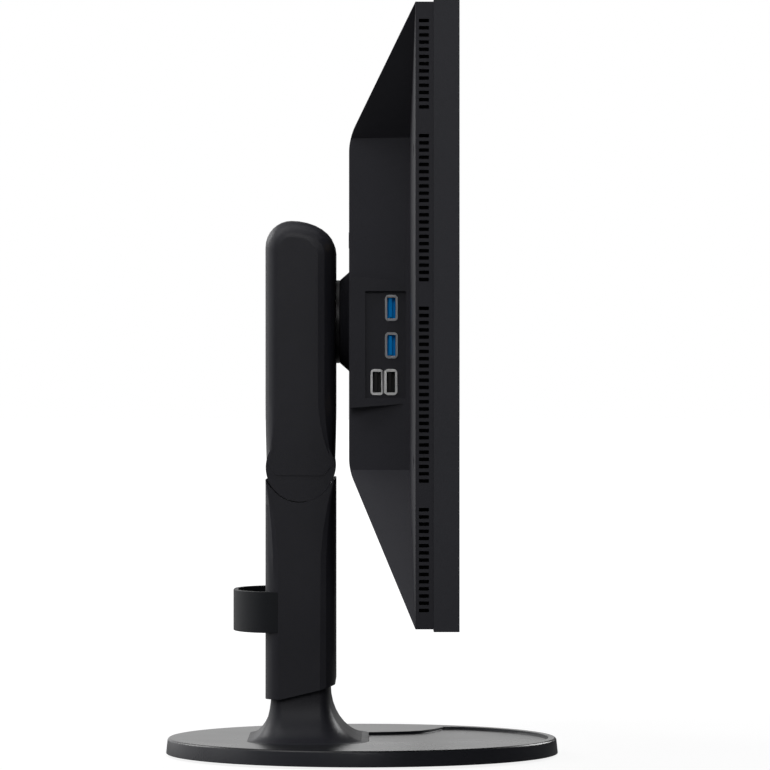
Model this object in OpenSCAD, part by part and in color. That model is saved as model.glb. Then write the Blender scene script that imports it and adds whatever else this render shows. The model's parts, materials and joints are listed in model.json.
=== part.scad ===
// Desktop monitor on a round base, with a two-stage stand that slides, tilts, swivels and pivots.
// Millimetres. +X is to the viewer's right, the screen faces -Y, +Z is up.
// The origin is under the centre of the base disc, on the surface that it stands on.

/* [Screen] */
// Width of the lit picture
screen_w = 518.4; // [420:0.2:630]
// Height of the lit picture
screen_h = 324; // [265:0.2:395]
// Border beside the picture
side_border = 18; // [14:0.5:24]
// Border above and below the picture
top_border = 18.85; // [15:0.05:24]

/* [Head] */
// Height of the head's centre, which is also the mount's centre
head_z = 271.7; // [262:0.1:300]
// Depth of the front bezel
bezel_d = 14.8; // [12:0.1:20]
// Depth of the vented rim behind the bezel
rim_d = 10.4; // [8:0.1:14]
// How far the vented rim is set in from the bezel, all round
rim_inset = 1.5; // [0.5:0.1:3]
// Depth of the housing behind the rim
housing_d = 38.8; // [34:0.1:48]
// Wall of the bezel and the rear cover
wall = 2.5; // [2:0.1:3]
// Width of the housing's flat back
back_w = 320; // [280:1:340]
// Height of the top edge of the flat back over the mount's centre
back_top = 106.9; // [96:0.1:120]
// Depth of the bottom edge of the flat back under the mount's centre
back_bottom = 90.1; // [84:0.1:100]
// Radius of the rounded top and bottom edges of the flat back
back_r = 32; // [10:1:40]

/* [Vents] */
// Height of one vent slot
slot_h = 2.1; // [1.5:0.1:2.8]
// Length of one vent slot, front to back
slot_len = 5.7; // [4:0.1:7]
// Distance from one vent slot to the next
slot_pitch = 4.11; // [3.6:0.01:5]

/* [Base] */
// Diameter of the base disc
base_d = 245.5; // [220:0.5:300]
// Height of the base disc's top
base_h = 11.4; // [11:0.1:16]
// Height of the base disc's bottom edge
base_lift = 1.6; // [1.2:0.1:2.4]
// Depth of the shallow tray in the top of the base
tray_depth = 1.7; // [0.8:0.1:1.8]

/* [Stand] */
// Distance of the column behind the base disc's centre
column_y = 38; // [32:0.5:46]
// Width of the stand's cases
case_w = 104; // [92:1:120]
// Depth of the stand's cases
case_d = 43.2; // [40:0.1:52]
// Height of the tilt axis
knee_z = 181.2; // [175:0.1:190]
// Radius of the knee barrel
knee_r = 21.2; // [19:0.1:21.4]
// Height of the top of the upper case
arm_top = 333.6; // [330:0.1:350]
// Length of the pivot boss between the upper case and the head
boss_len = 9.4; // [8:0.1:14]
// Diameter of the pivot plate
boss_d = 52; // [44:1:60]
// Travel of the lower case up the neck
lift_travel = 80; // [60:1:84]
// Travel of the head's carriage down the upper case
drop_travel = 55; // [40:1:56]
// Travel of the head's carriage up the upper case
rise_travel = 20; // [10:1:22]

/* [Cable holder] */
// How far the cable holder stands out behind the lower case
holder_d = 20.8; // [14:0.1:30]
// Height of the cable holder
holder_h = 25.4; // [18:0.1:34]
// Height of the cable holder's lower edge
holder_z = 79; // [60:1:110]
// Thickness of the cable holder
holder_t = 3; // [2:0.1:4]

/* [Mounting] */
// Side of the square of mounting holes
vesa = 100; // [75:25:100]
// Radius of a mounting hole
vesa_r = 2.15; // [2:0.05:2.5]

/* [Hidden] */
$fn = 64;

// Clearances
slack = 0.3;        // between pieces of different bodies that move past each other
seat = 0.05;        // between pieces that lie against each other
turn_gap = 0.06;    // radial, a shaft in its bore

// Head, front to back
head_w = screen_w + 2 * side_border;
head_h = screen_h + 2 * top_border;
case_front = column_y - case_d / 2;
case_back = column_y + case_d / 2;
back_y = case_front - boss_len;
rim_y = back_y - housing_d;
bezel_y = rim_y - rim_d;
front_y = bezel_y - bezel_d;
rim_w = head_w - 2 * rim_inset;
rim_h = head_h - 2 * rim_inset;
wing_rise = 2.8;    // how far the wings rise from the rim to the housing
wing_in = 107;      // width of a wing at its widest
glass_y = front_y + wall + seat;
panel_w = screen_w + 15;
panel_h = screen_h + 15;
tray_y = glass_y + 7.2;

// Base
plate_r = base_d / 2 - 17;
cover_t = 3.3;
foot_h = 1.5;
turn_t = 2;
glide_t = 1.6;
weight_z = foot_h + turn_t + glide_t;
weight_top = base_h - cover_t;
pin_r = 8;

// Neck and lower case
case_wall = 2.5;
neck_gap = 1;
side_gap = 1.2;
neck_w = case_w - 2 * (case_wall + side_gap + 0.4);
neck_corner = [9, 6.5];
neck_dep = case_d - 2 * (case_wall + neck_gap);
neck_top = knee_z - knee_r - 12;
foot_out = 6.5;         // how far the upright's flange passes its sides
upright_wall = 2;
upright_w = neck_w - 2 * (wall + foot_out + 1.9);
upright_d = neck_dep - 2 * (wall + 2.6);
pad_t = 1.5;            // room for a glide pad between the upright and the mast
mast_w = upright_w - 2 * (upright_wall + pad_t);
mast_d = upright_d - 2 * (upright_wall + pad_t);
mast_wall = 1.8;
// the mast's lower end keeps its overlap with the neck at full lift
mast_foot = neck_top - lift_travel - 44;
column_rear_z = 38;     // lower edge of the lower case at its back
column_front_z = 46.8;  // and at its front
column_horn = knee_z - 7.3;
cup_r = knee_r + 0.45;
yoke_z = knee_z - knee_r - 10.6;
yoke_h = 9;
shaft_r = 7;
tongue_w = 46;
ear_t = 4;

// Upper case and carriage
edge_w = 12;            // width of the cases' bevelled side edges
carriage_h = 28;
block_w = case_w - 28;
rail_r = 4;
rail_x = block_w / 2 - 8;
rail_y = column_y - 7;
rail_low = head_z - drop_travel - carriage_h / 2 - 5;
rail_high = head_z + rise_travel + carriage_h / 2 + 5;
slot_r = 14.8;
boss_neck_r = 14;
drum_r = 8.5;
drum_z = rail_high + 9.5;
drum_y = column_y + 2;
plate_t = 2.2;
boss_root_r = boss_d / 2 + 6;
pivot_r = 9;

// Connector bay under the housing
bay_w = 236;
bay_top = head_z - 106;
bay_low = head_z - 150;
bay_y = back_y - 33;

// Port pod on the left side
pod_top = 24.8;         // upper edge over the mount's centre
pod_bottom = -53.3;     // lower edge under the mount's centre
pod_x = -(back_w / 2 + 9);
port_floor = pod_x + 2.6;
port_y = back_y - 25.2;   // the USB 3 sockets' centre
usb_len = 13.1;
usb_t = 5.7;
usb_deep = 14;
usb3_z = [6, -16.2];    // from the mount's centre
usb2_step = 8.3;
usb2_z = -38;

// Small parts
tray_back = glass_y + 7.6;
insert_r = 4.3;
screw_r = 1.7;
bracket = [back_y - wall - 2.3, back_y - wall - 0.2];
shield_y = back_y - 19;
key_z = head_z - head_h / 2 + 9;
lens_x = screen_w / 2 - 9;
lens_r = 1.4;
catch_z = head_z + 50.8;
catch_w = 20;
catch_h = 10;
catch_travel = 4;
rocker_x = -104;
inlet_x = -76;
rocker_pin_r = 1.5;
rocker_up = 4.6;         // the rocker's pin over the bay's ceiling
socket_y = back_y - 20;

// ---------- shared shapes ----------

// A box from its corners
module span(x, y, z) {
    translate([x[0], y[0], z[0]]) cube([x[1] - x[0], y[1] - y[0], z[1] - z[0]]);
}

// A box centred on X, from its width and its ranges in Y and Z
module wide(w, y, z) {
    span([-w / 2, w / 2], y, z);
}

// A cylinder along X between two places
module rod_x(r, x, y, z) {
    translate([x[0], y, z]) rotate([0, 90, 0]) cylinder(r = r, h = x[1] - x[0]);
}

// A cylinder along Y between two places
module rod_y(r, x, y, z) {
    translate([x, y[0], z]) rotate([-90, 0, 0]) cylinder(r = r, h = y[1] - y[0]);
}

// A side outline of [y, z] points drawn across a width
module side(w, points) {
    translate([-w / 2, 0, 0]) rotate([90, 0, 90]) linear_extrude(w) polygon(points);
}

// Points on an ellipse from angle a0 to a1
function arc(c, a, b, a0, a1, n) =
    [for (i = [0:n]) let (t = a0 + (a1 - a0) * i / n) [c[0] + a * cos(t), c[1] + b * sin(t)]];

// A closed skin over rings that have equally many points
module skin(rings) {
    n = len(rings[0]);
    last = len(rings) - 1;
    points = [for (ring = rings) for (p = ring) p];
    walls = [for (k = [0:last - 1]) for (i = [0:n - 1])
        [k * n + i, (k + 1) * n + i, (k + 1) * n + (i + 1) % n, k * n + (i + 1) % n]];
    first_end = end_cap(n);
    last_end = [for (f = first_end) [for (i = [2:-1:0]) last * n + f[i]]];
    polyhedron(points = points, faces = concat(first_end, last_end, walls), convexity = 6);
}

// An end of a skin: a zigzag of triangles from one side of the ring to the other
function end_cap(n) = [for (i = [0:floor((n - 1) / 2) - 1]) each
    i + 1 < n - 2 - i ? [[i, i + 1, n - 1 - i], [i + 1, n - 2 - i, n - 1 - i]]
        : [[i, i + 1, n - 1 - i]]];

// A case across its width: the wide outline in the middle and the narrow one on its sides,
// with its side edges rounded between the two
module case_skin(outer, inner, w) {
    steps = 4;
    reach = [for (i = [0:steps]) 90 * i / steps];
    left = [for (a = reach) ring_x(outer, inner, 1 - sin(a), -w / 2 + edge_w * (1 - cos(a)))];
    right = [for (i = [steps:-1:0])
        ring_x(outer, inner, 1 - sin(reach[i]), w / 2 - edge_w * (1 - cos(reach[i])))];
    skin(concat(left, right));
}

// A ring at one X, mixed from the two outlines
function ring_x(outer, inner, mix, x) =
    [for (i = [0:len(outer) - 1]) let (p = outer[i] * (1 - mix) + inner[i] * mix) [x, p[0], p[1]]];

// A ring at one Z: a rectangle from its half width and its range in Y, with rounded corners
function ring_z(hw, y, rx, ry, z) = concat(
    [for (p = arc([hw - rx, y[1] - ry], rx, ry, 0, 90, 5)) [p[0], p[1], z]],
    [for (p = arc([-hw + rx, y[1] - ry], rx, ry, 90, 180, 5)) [p[0], p[1], z]],
    [for (p = arc([-hw + rx, y[0] + ry], rx, ry, 180, 270, 5)) [p[0], p[1], z]],
    [for (p = arc([hw - rx, y[0] + ry], rx, ry, 270, 360, 5)) [p[0], p[1], z]]);

// A screw along +Z with a round head at its top
module screw(r, head_r, h, head_h) {
    cylinder(r = r, h = h);
    translate([0, 0, h - head_h]) cylinder(r = head_r, h = head_h);
}

// ---------- turntable ----------

module turntable_plate() {
    color("dimgray") difference() {
        translate([0, 0, foot_h]) cylinder(r = plate_r, h = turn_t);
        translate([0, 0, foot_h - 1]) cylinder(r = pin_r - 2, h = turn_t + 2);
    }
}

module rubber_feet() {
    color("black") for (a = [30:60:330]) rotate([0, 0, a])
        translate([plate_r - 14, 0, 0]) cylinder(r = 9, h = foot_h);
}

module swivel_pin() {
    color("silver") {
        translate([0, 0, foot_h]) cylinder(r = pin_r - 2 - seat, h = turn_t);
        translate([0, 0, foot_h + turn_t]) cylinder(r = pin_r, h = glide_t + 1.6);
        translate([0, 0, foot_h + turn_t + glide_t + 1.6]) cylinder(r = pin_r + 5, h = 0.9);
    }
}

// ---------- base ----------

// The tray's outline: a big arc at the front and hollow shoulders beside the neck
module tray_outline() {
    shoulder = [[42, -4], [46, -20], [50, -30], [57, -38], [68, -44], [92, -52], [92, -170]];
    intersection() {
        translate([0, -10]) circle(r = base_d / 2 - 16, $fn = 120);
        polygon(concat(shoulder,
            [for (i = [len(shoulder) - 1:-1:0]) [-shoulder[i][0], shoulder[i][1]]]));
    }
}

module base_cover() {
    rim_r = base_d / 2;
    color("dimgray") difference() {
        rotate_extrude() polygon([
            [0, base_lift], [rim_r, base_lift], [rim_r - 0.9, base_h - 1.3],
            [rim_r - 1.3, base_h - 0.5], [rim_r - 2.1, base_h], [0, base_h]]);
        translate([0, 0, base_lift - 1]) cylinder(r = rim_r - 4, h = weight_top - base_lift + 1);
        translate([0, 0, base_h - tray_depth]) linear_extrude(tray_depth + 1) tray_outline();
        wide(upright_w + 2 * foot_out + 1, [column_y - upright_d / 2 - 2.5, column_y + upright_d / 2 + 2.5],
            [weight_top - 1, base_h + 1]);
    }
}

module base_weight() {
    color("gray") difference() {
        translate([0, 0, weight_z]) cylinder(r = base_d / 2 - 4 - seat, h = weight_top - weight_z);
        translate([0, 0, weight_z - 1]) cylinder(r = pin_r + turn_gap, h = 6);
        translate([0, 0, weight_z + 1.3]) cylinder(r = pin_r + 6, h = 6);
        neck_screw_places() translate([0, 0, weight_z - 1]) cylinder(r = 2.1, h = 6);
        neck_screw_places() translate([0, 0, weight_z - 1]) cylinder(r = 4.2, h = 2.2);
    }
}

module glide_ring() {
    color("white") difference() {
        translate([0, 0, foot_h + turn_t]) cylinder(r = 92, h = glide_t);
        translate([0, 0, foot_h + turn_t - 1]) cylinder(r = 76, h = glide_t + 2);
    }
}

module neck_screw_places() {
    for (s = [-1, 1]) translate([s * (upright_w / 2 + foot_out - 3), column_y, 0]) children();
}

module neck_screws() {
    color("silver") neck_screw_places() translate([0, 0, weight_z + 0.1]) {
        cylinder(r = 4, h = 1);
        cylinder(r = 2, h = weight_top + 3 - weight_z - 0.1);
    }
}

// The neck flares into the base on all sides, more to the front than to the back
function neck_ring(t) =
    let (low = 1 - sin(t), up = 1 - cos(t), half = neck_dep / 2)
    ring_z(neck_w / 2 + 22 * low,
        [column_y - half - 24 * low, column_y + half + 15 * low],
        neck_corner[0] + 22 * low, neck_corner[1] + 22 * low, base_h + 30 * up);

module neck_cover() {
    half = neck_dep / 2;
    top = ring_z(neck_w / 2, [column_y - half, column_y + half],
        neck_corner[0], neck_corner[1], neck_top);
    color("dimgray") difference() {
        skin(concat([for (t = [0:10:90]) neck_ring(t)], [top]));
        difference() {
            wide(neck_w - 2 * wall - 2, [column_y - half + wall, column_y + half - wall],
                [base_h - 1, neck_top + 1]);
            for (m = [0, 1]) mirror([m, 0, 0]) for (s = [-1, 1])
                translate([neck_w / 2 - wall - 1, column_y + s * (half - wall), 0])
                    rotate([0, 0, 45]) translate([-3, -3, 0]) cube([6, 6, neck_top]);
        }
    }
}

module neck_upright() {
    half = upright_d / 2;
    color("silver") difference() {
        union() {
            wide(upright_w, [column_y - half, column_y + half], [weight_top, neck_top - 4]);
            wide(upright_w + 2 * foot_out, [column_y - half, column_y + half], [weight_top, weight_top + 3]);
        }
        wide(upright_w - 2 * upright_wall,
            [column_y - half + upright_wall, column_y + half - upright_wall],
            [weight_top + 3, neck_top]);
        neck_screw_places() translate([0, 0, weight_top - 1]) cylinder(r = 2.05, h = 6);
    }
}

// ---------- lower case ----------

// Its side outline; the narrow one is the flat side, which widens to the knee
function column_outline(front_y, back_y, front_z) = concat(
    [[column_y + 12, column_rear_z], [back_y[0], column_rear_z], [back_y[0], 111]],
    [for (i = [1:4]) let (t = i / 4)
        [back_y[0] + (back_y[1] - back_y[0]) * pow(t, 2.2), 111 + (column_horn - 111) * t]],
    [for (i = [4:-1:1]) let (t = i / 4)
        [front_y[0] - (front_y[0] - front_y[1]) * pow(t, 2.2), 111 + (column_horn - 111) * t]],
    [[front_y[0], 111], [front_y[0], front_z]]);

module column_case(grow) {
    d = case_d / 2 - grow;
    wide_line = column_outline([column_y - d, column_y - d], [column_y + d, column_y + d],
        column_front_z);
    side_line = column_outline([column_y - 12.4, column_y - d + 0.6],
        [column_y + 13.3, column_y + d - 0.6], column_front_z - 3);
    case_skin(wide_line, side_line, case_w - 2 * grow);
}

module column_shell() {
    difference() {
        column_case(0);
        // room for the neck
        neck_room();
        // the knee's cup, and room for the upper case when it leans right back
        rod_x(cup_r, [-case_w, case_w], column_y, knee_z);
        translate([0, column_y, knee_z]) rotate([-35, 0, 0])
            wide(2 * case_w, [0, case_d / 2 + 0.5], [0, 60]);
        yoke_room();
    }
}

module neck_room() {
    half = neck_dep / 2 + neck_gap;
    plan = ring_z(neck_w / 2 + side_gap, [column_y - half, column_y + half],
        neck_corner[0] + side_gap, neck_corner[1] + neck_gap, 0);
    linear_extrude(yoke_z) polygon([for (p = plan) [p[0], p[1]]]);
}

// Room for the yoke, which closes the lower case under the knee
module yoke_room() {
    wide(neck_w - 6, [column_y - 14 - seat, column_y + 14 + seat],
        [yoke_z - 1, yoke_z + yoke_h + seat]);
    wide(tongue_w + 2 * slack, [column_y - 14, column_y + 14], [yoke_z, knee_z]);
}

// The seam runs just in front of the flat side's front edge and out to the front at the knee
function column_seam() = let (edge = column_y - 12.9, flare = case_d / 2 - 13) concat(
    [[-60, 0], [edge, 0]],
    [for (i = [0:3]) let (t = 0.3 * i)
        [edge - flare * pow(t, 2.2), 111 + (column_horn - 111) * t]],
    [[edge - flare + 1.3, 190], [-60, 190]]);

module column_front_cover() {
    color("#2a2a2d") intersection() {
        column_shell();
        side(2 * case_w, column_seam());
    }
}

module column_rear_cover() {
    color("#2e2e31") difference() {
        column_shell();
        side(2 * case_w, column_seam());
    }
}

module column_mast() {
    half = mast_d / 2;
    color("silver") difference() {
        wide(mast_w, [column_y - half, column_y + half], [mast_foot, yoke_z]);
        wide(mast_w - 2 * mast_wall,
            [column_y - half + mast_wall, column_y + half - mast_wall], [mast_foot - 1, yoke_z - 3]);
    }
}

module knee_yoke() {
    color("gray") difference() {
        union() {
            wide(neck_w - 6.2, [column_y - 14, column_y + 14], [yoke_z, yoke_z + yoke_h]);
            wide(tongue_w, [column_y - 8, column_y + 8], [yoke_z + yoke_h - 1, knee_z]);
            rod_x(13, [-tongue_w / 2, tongue_w / 2], column_y, knee_z);
        }
        rod_x(shaft_r, [-tongue_w, tongue_w], column_y, knee_z);
    }
}

module column_glides() {
    inner = upright_w / 2 - upright_wall;
    color("ivory") for (z = [26, 60]) difference() {
        wide(2 * inner - 0.2,
            [column_y - upright_d / 2 + upright_wall + 0.1, column_y + upright_d / 2 - upright_wall - 0.1],
            [z, z + 12]);
        wide(mast_w, [column_y - mast_d / 2, column_y + mast_d / 2], [z - 1, z + 13]);
    }
}

module lift_springs() {
    color("silver") for (x = [-16, 16]) translate([x, column_y, weight_top + 3]) difference() {
        cylinder(r = 6, h = yoke_z - 3 - weight_top - 3);
        translate([0, 0, -1]) cylinder(r = 4.6, h = yoke_z);
    }
}

// A band that carries the flat sides on round the back of the case
module holder_outline(r) {
    hull() {
        translate([-case_w / 2 + r, column_y + 12]) square([case_w - 2 * r, 4]);
        for (s = [-1, 1]) translate([s * (case_w / 2 - 46), case_back + holder_d - 26])
            scale([46 - r, 26 - r]) circle(r = 1, $fn = 96);
    }
}

module cable_holder() {
    color("#2e2e31") translate([0, 0, holder_z]) difference() {
        linear_extrude(holder_h) holder_outline(0);
        translate([0, 0, -1]) linear_extrude(holder_h + 2) holder_outline(holder_t);
        translate([0, 0, -holder_z]) column_case(-seat);
    }
}

// ---------- upper case ----------

// Its side outline from inside the knee's barrel up to the arched top. r is the half depth at
// the barrel, which runs into d_front and d_back over the height flare.
function arm_outline(r, d_front, d_back, flare, top, rear_r) = concat(
    [[column_y - r + 6, knee_z - 5], [column_y + r - 6, knee_z - 5]],
    [for (i = [0:5]) let (t = i / 5)
        [column_y + r - (r - d_back) * (1 - pow(1 - t, 2.2)), knee_z + 2 + (flare - 2) * t]],
    arc([column_y + 5.5, top - rear_r], d_back - 5.5, rear_r, 0, 90, 8),
    arc([column_y + 5.5, top - rear_r - 2], d_front + 5.5, rear_r + 2, 100, 180, 7),
    [for (i = [5:-1:0]) let (t = i / 5)
        [column_y - r + (r - d_front) * (1 - pow(1 - t, 2.2)), knee_z + 2 + (flare - 2) * t]]);

module arm_case() {
    d = case_d / 2;
    case_skin(arm_outline(knee_r - 0.4, d, d, 46, arm_top, 16.5),
        arm_outline(knee_r - 0.9, d - 10.6, d - 8.6, 46, arm_top - 10.8, 9), case_w);
    rod_x(knee_r, [-case_w / 2 + 0.4, case_w / 2 - 0.4], column_y, knee_z);
}

module arm_room() {
    d = case_d / 2 - case_wall;
    hw = case_w / 2 - 1.5;
    // the slot's chamber, with its corners cut off beside the case's edges
    intersection() {
        union() {
            wide(case_w - 2 * case_wall - 2, [column_y - d, column_y + d],
                [knee_z + 8, arm_top - 10]);
            wide(case_w - 2 * edge_w + 6, [column_y - d, column_y + d], [knee_z + 8, arm_top]);
        }
        side(case_w, arm_outline(knee_r - case_wall, d, d, 46, arm_top - case_wall, 15));
        translate([0, column_y, 0]) linear_extrude(arm_top) polygon([
            [-hw, -d + 11], [-hw + 10, -d - 0.2], [hw - 10, -d - 0.2], [hw, -d + 11],
            [hw, d - 11], [hw - 10, d + 0.2], [-hw + 10, d + 0.2], [-hw, d - 11]]);
    }
    // the barrel's bore
    rod_x(knee_r - case_wall, [-case_w / 2 + 3, case_w / 2 - 3], column_y, knee_z);
    // the way in for the yoke, which swings through the tilt
    reach = knee_r + 2;
    side(tongue_w + 2 * slack, [turned(-10, 0, -7), turned(-10, -reach, -7),
        turned(-10, -reach, 14), turned(10, -reach, 14), turned(10, -reach, 37), turned(10, 0, 37)]);
}

// A point in Y and Z from the knee's axis, turned about it by an angle
function turned(y, z, a) =
    [column_y + y * cos(a) - z * sin(a), knee_z + y * sin(a) + z * cos(a)];

module arm_shell() {
    difference() {
        arm_case();
        arm_room();
        // the slot that the carriage slides in
        for (z = [head_z - drop_travel, head_z + rise_travel])
            rod_y(slot_r, 0, [case_front - 1, column_y - 8], z);
        wide(2 * slot_r, [case_front - 1, column_y - 8],
            [head_z - drop_travel, head_z + rise_travel]);
    }
}

function arm_seam() = [[-60, knee_z + 4], [column_y - 20.8, knee_z + 4], [column_y - 18, knee_z + 12],
    [column_y - 14.6, knee_z + 26], [column_y - 12, knee_z + 38], [column_y - 11.1, knee_z + 50],
    [column_y - 11.1, arm_top + 5], [-60, arm_top + 5]];

module arm_front_cover() {
    color("#242427") intersection() {
        arm_shell();
        side(2 * case_w, arm_seam());
    }
}

module arm_rear_cover() {
    color("#2e2e31") difference() {
        arm_shell();
        side(2 * case_w, arm_seam());
    }
}

module arm_frame() {
    back = column_y + 14;
    ear_x = tongue_w / 2 + 2;
    color("silver") difference() {
        union() {
            wide(case_w - 20, [back, back + 2.5], [knee_z + 6, drum_z + 3]);
            for (s = [-1, 1]) {
                // rail lugs
                for (z = [rail_low, rail_high - 3])
                    span(s > 0 ? [rail_x - 8, rail_x + 10] : [-rail_x - 10, -rail_x + 8],
                        [rail_y - 6, back + 0.5], [z, z + 3]);
                // drum ears
                span(s > 0 ? [18, 20.5] : [-20.5, -18], [drum_y - 5, back + 0.5],
                    [drum_z - 5, drum_z + 5]);
                // knee ears
                span(s > 0 ? [ear_x, ear_x + ear_t] : [-ear_x - ear_t, -ear_x],
                    [column_y - 8, back + 0.5], [knee_z, knee_z + 16]);
                rod_x(13, s > 0 ? [ear_x, ear_x + ear_t] : [-ear_x - ear_t, -ear_x],
                    column_y, knee_z);
            }
        }
        rod_x(shaft_r + turn_gap, [-60, 60], column_y, knee_z);
        rod_x(3, [-30, 30], drum_y, drum_z);
        for (x = [-rail_x, rail_x]) translate([x, rail_y, rail_low - 1])
            cylinder(r = rail_r + seat, h = rail_high - rail_low + 2);
    }
}

module knee_shaft() {
    color("gainsboro") rod_x(shaft_r, [-case_w / 2 + 10, case_w / 2 - 10], column_y, knee_z);
}

module knee_washers() {
    inner = tongue_w / 2;
    color("goldenrod") for (x = [[-inner - 2, -inner], [inner, inner + 2]]) difference() {
        rod_x(12, x, column_y, knee_z);
        rod_x(shaft_r + turn_gap, [-60, 60], column_y, knee_z);
    }
}

module knee_nuts() {
    out = tongue_w / 2 + 2 + ear_t;
    color("silver") for (s = [-1, 1]) difference() {
        translate([s > 0 ? out : -out - 7, column_y, knee_z]) rotate([0, 90, 0])
            cylinder(r = 12.5, h = 7, $fn = 6);
        rod_x(shaft_r, [-60, 60], column_y, knee_z);
    }
}

module carriage_rails() {
    color("gainsboro") for (x = [-rail_x, rail_x]) translate([x, rail_y, rail_low])
        cylinder(r = rail_r, h = rail_high - rail_low);
}

module spring_drum() {
    color("slategray") difference() {
        rod_x(drum_r, [-14, 14], drum_y, drum_z);
        rod_x(3, [-20, 20], drum_y, drum_z);
    }
}

module drum_axle() {
    color("silver") rod_x(3, [-22, 22], drum_y, drum_z);
}

// ---------- carriage ----------

module carriage_block() {
    low = head_z - carriage_h / 2;
    color("gray") difference() {
        union() {
            wide(block_w, [case_front + 5, column_y + 10], [low, low + carriage_h]);
            rod_y(boss_neck_r, 0, [case_front - slack, case_front + 6], head_z);
        }
        for (x = [-rail_x, rail_x]) translate([x, rail_y, low - 1])
            cylinder(r = rail_r + turn_gap, h = carriage_h + 2);
        rod_y(pivot_r, 0, [case_front - 1, case_front + 14], head_z);
    }
}

module pivot_plate() {
    color("#232326") difference() {
        rod_y(boss_d / 2, 0, [case_front - slack - plate_t, case_front - slack], head_z);
        rod_y(pivot_r, 0, [0, case_front + 1], head_z);
    }
}

module pivot_pin() {
    color("gainsboro") rod_y(pivot_r, 0, [back_y - 16, case_front + 14], head_z);
}

module pivot_washer() {
    color("goldenrod") difference() {
        rod_y(16, 0, [back_y - 8.2, back_y - 7], head_z);
        rod_y(pivot_r, 0, [back_y - 20, back_y], head_z);
    }
}

module pivot_nut() {
    color("silver") difference() {
        translate([0, back_y - 15, head_z]) rotate([-90, 0, 0]) cylinder(r = 15, h = 6.8, $fn = 6);
        rod_y(pivot_r, 0, [back_y - 20, back_y], head_z);
    }
}

// ---------- head ----------

module front_bezel() {
    color("#26252a") difference() {
        union() {
            wide(head_w, [front_y, bezel_y], [head_z - head_h / 2, head_z + head_h / 2]);
            key_places() rod_y(0.9, 0, [front_y - 0.3, front_y + 1], 0);
        }
        translate([lens_x, 0, key_z]) rod_y(lens_r + seat, 0, [front_y - 1, tray_y + 1], 0);
        // the window, bevelled down to the glass
        translate([0, front_y, head_z]) rotate([-90, 0, 0])
            for (k = [0:1]) translate([0, 0, k * 1.2 - 0.01])
                linear_extrude(wall + 1) square([screen_w + 3 - 1.6 * k, screen_h + 3 - 1.6 * k],
                    center = true);
        // the pocket for the panel
        wide(panel_w + 1.6, [front_y + wall, bezel_y + 1],
            [head_z - panel_h / 2 - 0.8, head_z + panel_h / 2 + 0.8]);
        // the shelf that the rear cover's rim plugs into
        wide(head_w - 2 * wall, [tray_y, bezel_y + 1],
            [head_z - head_h / 2 + wall, head_z + head_h / 2 - wall]);
    }
}

module panel_sheet(w, h, y, t) {
    wide(w, [y, y + t], [head_z - h / 2, head_z + h / 2]);
}

module lcd_panel() {
    color("#0c0c10") panel_sheet(panel_w, panel_h, glass_y, 1.9);
}

module optical_sheets() {
    color("whitesmoke") for (k = [0:2])
        panel_sheet(panel_w - 4, panel_h - 4, glass_y + 1.9 + k * 0.35, 0.3);
}

module light_guide() {
    color("lightcyan") panel_sheet(panel_w - 8, panel_h - 8, glass_y + 2.95, 3.4);
}

module led_bars() {
    color("lightyellow") for (s = [-1, 1]) translate([0, 0, s * (panel_h / 2 - 3.4)])
        wide(panel_w - 8, [glass_y + 2.95, glass_y + 6.3], [head_z - 0.5, head_z + 0.5]);
}

module panel_tray() {
    color("silver") difference() {
        panel_sheet(panel_w + 1.4, panel_h + 1.4, glass_y + 2, 5.6);
        panel_sheet(panel_w - 0.2, panel_h - 0.2, glass_y + 1, 5.5);
    }
}

// The side outline of the housing, drawn in by a wall
function housing_points(t) = let (
    up = atan2(housing_d, rim_h / 2 - back_top),
    down = atan2(housing_d, rim_h / 2 - back_bottom),
    r = back_r - t,
    reach_up = (back_r - t) * tan(up / 2),
    reach_down = (back_r - t) * tan(down / 2),
    high = head_z + back_top - t * tan(up / 2),
    low = head_z - back_bottom + t * tan(down / 2))
    concat(
        [[rim_y, head_z - rim_h / 2 + t / sin(down)], [rim_y, head_z + rim_h / 2 - t / sin(up)]],
        arc([back_y - t - r, high - reach_up], r, r, up, 0, 8),
        arc([back_y - t - r, low + reach_down], r, r, 0, -down, 8));

// The hollow beside the housing where the wing lies, as the hexahedron that it takes away.
// t moves its walls in by the cover's thickness.
module wing_hollow(t) {
    root_x = back_w / 2 + 10 - t;
    edge_x = back_w / 2 - t;
    root_y = rim_y + wing_rise - t;
    up = back_top + 1.2 * t;
    down = -back_bottom - 1.2 * t;
    corner_up = rim_h / 2 + 1.2 * t;
    corner_x = rim_w / 2;
    corner_y = rim_y - t;
    root = [[root_x, root_y, down], [root_x, root_y, up]];
    edge = [[edge_x, back_y, down], [edge_x, back_y, up]];
    corner = [[corner_x, corner_y, -corner_up], [corner_x, corner_y, corner_up]];
    far_edge = [for (k = [0, 1]) root[k] + 1.6 * (edge[k] - root[k])];
    far_corner = [for (k = [0, 1]) root[k] + 1.25 * (corner[k] - root[k])];
    outer = [for (k = [0, 1]) far_corner[k] + 1.6 * (edge[k] - root[k])];
    translate([0, 0, head_z]) hull() polyhedron(
        points = concat(root, far_edge, far_corner, outer),
        faces = [[0, 1, 3, 2], [0, 4, 5, 1], [2, 3, 7, 6], [4, 6, 7, 5], [1, 5, 7, 3], [0, 2, 6, 4]]);
}

module housing() {
    difference() {
        side(rim_w, housing_points(0));
        for (m = [0, 1]) mirror([m, 0, 0]) wing_hollow(0);
    }
}

// Slot places down one side, from the top, with a bar left solid between the groups
function slots_filled() = [for (i = [0:82])
    if (i < 13 || (i > 15 && i < 37) || (i > 39 && i < 65) || i > 67) i];

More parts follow.
